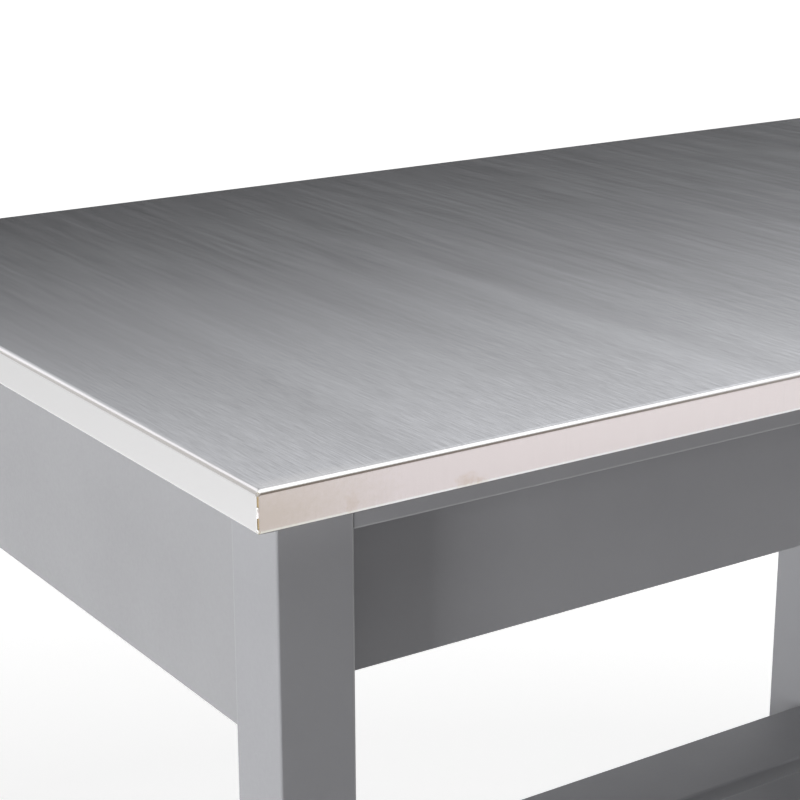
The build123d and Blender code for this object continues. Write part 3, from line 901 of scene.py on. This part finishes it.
def runnerSpots(size):
    spots = []
    for side, sign in (("left", -1), ("right", 1)):
        low, high = corners(side + "_runner")
        face = high.x if sign < 0 else low.x
        for share in size["runnerShares"]:
            spots.append(((face, share * high.y, (low.z + high.z) / 2), (sign, 0, 0)))
    return spots


def railSpots(size):
    low, high = corners("front_top_rail")
    middle = (low.y + high.y) / 2
    return [((share * high.x, middle, low.z), (0, 0, 1)) for share in size["railShares"]]


def pullSpots(size):
    low, high = corners("pull_screws")
    head, reach = size["pull"][0]
    middle = (low.z + high.z) / 2
    return [((x, high.y - head, middle), (0, -1, 0)) for x in (low.x + reach, high.x - reach)]


woodScrews = joinPieces(
    [
        spread(makeScrew(screwSize, "slat"), slatSpots(screwSize), "slatScrews"),
        spread(makeScrew(screwSize, "runner"), runnerSpots(screwSize), "runnerScrews"),
        spread(makeScrew(screwSize, "rail"), railSpots(screwSize), "railScrews"),
    ],
    "woodScrews",
)
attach(woodScrews, "frame")
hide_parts("wood_screws")
pullScrews = spread(makeScrew(screwSize, "pull"), pullSpots(screwSize), "pullScrews")
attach(pullScrews, "drawer")
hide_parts("pull_screws")
print("screws:", len(woodScrews.data.polygons), "and", len(pullScrews.data.polygons), "faces")


# floor, light and camera
stageLook = {
    "floorSize": 40.0,
    "floor": 0.80,
    "floorRoughness": 0.9,
    "lift": 0.45,
    "farLift": 1.0,
    "mirrorLift": 0.68,
    "near": 1.2,
    "far": 3.4,
    "ambient": 0.04,
    "sky": 1.0,
    "warm": (0.70, 0.58, 0.575, 1.0),  # floor in front, as the steel edge mirrors it
    "warmFrom": -1.0,
    "warmTo": -2.0,
}
lampLook = {
    "keyPanel": {
        "place": (-4.2, -0.985, 0.9),
        "target": (-0.3, -0.22, 0.75),
        "size": (0.57, 1.6),
        "energy": 154.0,
    },
    "sidePanel": {
        "place": (-1.25, 0.55, 1.5),
        "target": (-0.38, 0.2, 0.8),
        "size": (0.5, 0.5),
        "energy": 2.4,
    },
    "frontFill": {
        "place": (1.6, -3.0, 0.45),
        "target": (0.1, -0.2, 0.6),
        "size": (2.4, 0.8),
        "energy": 10.6,
    },
    "rearFill": {
        "place": (2.4, 2.6, 1.4),
        "target": (0.1, 0.2, 0.6),
        "size": (2.4, 2.0),
        "energy": 40.0,
    },
    "topPanel": {
        "place": (0.0, -0.3, 2.8),
        "target": (0.0, -0.3, 0.8),
        "size": (2.6, 2.6),
        "energy": 28.0,
    },
}
cameraLook = {
    "place": (-0.7416, -0.8519, 1.1451),
    "lens": 91.31,
    "sensor": 36.0,
    "heading": 56.14,
    "tilt": 17.005,
    "roll": -0.144,
    "clip": (0.01, 100.0),
}


# what is seen straight on, in a mirror or through glass, and what is seen in a mirror
def seenRays(tree):
    path = addNode(tree, "ShaderNodeLightPath").outputs
    seen = mathNode(tree, "MAXIMUM", path["Is Camera Ray"], path["Is Glossy Ray"])
    seen = mathNode(tree, "MAXIMUM", seen, path["Is Transmission Ray"])
    return seen, path["Is Glossy Ray"]


def makeFloor(look):
    deselectAll()
    bpy.ops.mesh.primitive_plane_add(size=look["floorSize"], location=(0, 0, 0))
    floor = bpy.context.object
    floor.name = "studioFloor"
    material, tree, shader = newMaterial("studioFloorPaint")
    shader.inputs["Base Color"].default_value = (look["floor"],) * 3 + (1.0,)
    shader.inputs["Roughness"].default_value = look["floorRoughness"]
    seen, mirror = seenRays(tree)
    coords = objectCoords(tree)
    inFront = maskNode(tree, axesOf(tree, coords)["Y"], look["warmFrom"], look["warmTo"])
    mirrored = mathNode(tree, "MULTIPLY", inFront, mirror)
    feed(tree, shader.inputs["Emission Color"], mixColour(tree, mirrored, white, look["warm"]))
    away = vectorNode(tree, "LENGTH", coords)
    lift = rangeNode(tree, away, look["near"], look["far"], look["lift"], look["farLift"])
    lift = rangeNode(tree, mirror, 0.0, 1.0, lift, look["mirrorLift"])
    feed(tree, shader.inputs["Emission Strength"], mathNode(tree, "MULTIPLY", seen, lift))
    floor.data.materials.append(material)


def makeWorld(look):
    world = bpy.data.worlds.new("studioWorld")
    scene.world = world
    world.use_nodes = True
    tree = world.node_tree
    tree.nodes.clear()
    seen = seenRays(tree)[0]
    background = addNode(tree, "ShaderNodeBackground")
    background.inputs["Color"].default_value = white
    strength = rangeNode(tree, seen, 0.0, 1.0, look["ambient"], look["sky"])
    feed(tree, background.inputs["Strength"], strength)
    output = addNode(tree, "ShaderNodeOutputWorld")
    feed(tree, output.inputs["Surface"], background.outputs["Background"])


def makeLamp(name, look):
    data = bpy.data.lights.new(name, "AREA")
    data.shape = "RECTANGLE"
    data.size, data.size_y = look["size"]
    data.energy = look["energy"]
    lamp = bpy.data.objects.new(name, data)
    scene.collection.objects.link(lamp)
    lamp.location = look["place"]
    lamp.rotation_euler = turnTowards(Vector(look["target"]) - Vector(look["place"]))
    lamp.visible_glossy = False


# stage cards that only reflections see
def glowMaterial(name):
    material, tree, shader = newMaterial(name)
    tree.nodes.remove(shader)
    glow = addNode(tree, "ShaderNodeEmission")
    feed(tree, tree.nodes["Material Output"].inputs["Surface"], glow.outputs["Emission"])
    return material, tree, glow.inputs


def mirrorOnly(card, name, material):
    settle(card, name)
    card.data.materials.append(material)
    card.visible_camera = False
    card.visible_diffuse = False
    card.visible_transmission = False
    card.visible_shadow = False


# a graded card behind the cart: height and brightness of each stop
cardLook = {
    "away": 2.2,
    "width": 18.0,
    "bottom": 0.95,
    "top": 7.0,
    "tint": (0.950, 0.962, 1.0),
    "stops": (
        (1.05, 0.055),
        (1.25, 0.06),
        (1.36, 0.11),
        (1.46, 0.155),
        (1.56, 0.51),
        (1.70, 0.62),
        (1.80, 0.80),
        (2.1, 0.94),
        (2.6, 0.80),
        (3.4, 0.55),
    ),
    # brighter towards the right: from and to, then the share at each
    "fade": (0.80, -0.70, 0.69, 1.31),
    # both ends are white panels, which light the bends
    "leftEnd": (1.3, 2.4),
    "rightEnd": (-1.7, -2.6),
    "endHeight": (1.15, 1.45),
    "end": (1.19, 1.17, 1.195, 1.0),
}


def makeGradedCard(look, heading):
    material, tree, glow = glowMaterial("gradedCardPaint")
    coords = objectCoords(tree)
    height = axesOf(tree, coords)["Z"]
    sideways = vectorNode(tree, "DOT_PRODUCT", coords, (-math.sin(heading), math.cos(heading), 0.0))
    ramp = addNode(tree, "ShaderNodeValToRGB")
    feed(tree, ramp.inputs["Fac"], maskNode(tree, height, look["bottom"], look["top"]))
    stops = ramp.color_ramp.elements
    while len(stops) < len(look["stops"]):
        stops.new(0.5)
    for stop, (level, brightness) in zip(stops, look["stops"]):
        stop.position = (level - look["bottom"]) / (look["top"] - look["bottom"])
        stop.color = tuple(brightness * part for part in look["tint"]) + (1.0,)
    fade = rangeNode(tree, sideways, *look["fade"])
    leftEnd, rightEnd = (maskNode(tree, sideways, *look[end]) for end in ("leftEnd", "rightEnd"))
    atEnd = mathNode(tree, "MAXIMUM", leftEnd, rightEnd)
    atEnd = mathNode(tree, "MULTIPLY", atEnd, maskNode(tree, height, *look["endHeight"]))
    feed(tree, glow["Color"], mixColour(tree, atEnd, ramp.outputs["Color"], look["end"]))
    feed(tree, glow["Strength"], rangeNode(tree, atEnd, 0.0, 1.0, fade, 1.0))
    deselectAll()
    x, y = look["away"] * math.cos(heading), look["away"] * math.sin(heading)
    bpy.ops.mesh.primitive_plane_add(size=1.0, location=(x, y, (look["bottom"] + look["top"]) / 2))
    card = bpy.context.object
    card.scale = (look["width"], look["top"] - look["bottom"], 1.0)
    card.rotation_euler = (math.radians(90), 0, heading - math.radians(90))
    mirrorOnly(card, "gradedCard", material)


# a white card overhead draws the bright line along the front bend
overheadLook = {"place": (0.0, -1.3, 2.8), "size": (4.0, 2.1), "glow": 1.6}


def makeOverheadCard(look):
    material, _, glow = glowMaterial("overheadCardPaint")
    glow["Strength"].default_value = look["glow"]
    deselectAll()
    bpy.ops.mesh.primitive_plane_add(size=1.0, location=look["place"])
    card = bpy.context.object
    card.scale = look["size"] + (1.0,)
    mirrorOnly(card, "overheadCard", material)


# a band round the studio, darkest to the front right, draws the dark line under each bright bend
bandLook = {
    "radius": 4.6,
    "sides": 96,
    "bottom": 0.4,
    "top": 3.0,
    "heading": -64.0,
    "darkSpan": (0.935, 0.986),
    "dark": (0.245, 0.205, 0.175, 1.0),
    "light": (0.66, 0.635, 0.615, 1.0),
}


def makeDarkBand(look):
    material, tree, glow = glowMaterial("darkBandPaint")
    heading = math.radians(look["heading"])
    darkest = (math.cos(heading) / look["radius"], math.sin(heading) / look["radius"], 0.0)
    facing = vectorNode(tree, "DOT_PRODUCT", objectCoords(tree), darkest)
    share = maskNode(tree, facing, *look["darkSpan"])
    feed(tree, glow["Color"], mixColour(tree, share, look["light"], look["dark"]))
    deselectAll()
    bpy.ops.mesh.primitive_cylinder_add(
        vertices=look["sides"], radius=look["radius"], depth=look["top"] - look["bottom"],
        end_fill_type="NOTHING", location=(0, 0, (look["top"] + look["bottom"]) / 2))
    mirrorOnly(bpy.context.object, "darkBand", material)


def makeCamera(look):
    data = bpy.data.cameras.new("photoCamera")
    camera = bpy.data.objects.new("photoCamera", data)
    scene.collection.objects.link(camera)
    data.sensor_width = look["sensor"]
    data.lens = look["lens"]
    data.clip_start, data.clip_end = look["clip"]
    camera.location = look["place"]
    aim = Euler((math.radians(90 - look["tilt"]), 0, math.radians(look["heading"] - 90))).to_matrix()
    turn = aim @ Matrix.Rotation(math.radians(look["roll"]), 3, "Z")
    camera.rotation_euler = turn.to_euler()
    scene.camera = camera


makeFloor(stageLook)
makeWorld(stageLook)
for lampName, lampValues in lampLook.items():
    makeLamp(lampName, lampValues)
makeGradedCard(cardLook, math.radians(cameraLook["heading"]))
makeOverheadCard(overheadLook)
makeDarkBand(bandLook)
makeCamera(cameraLook)
print("stage ready")
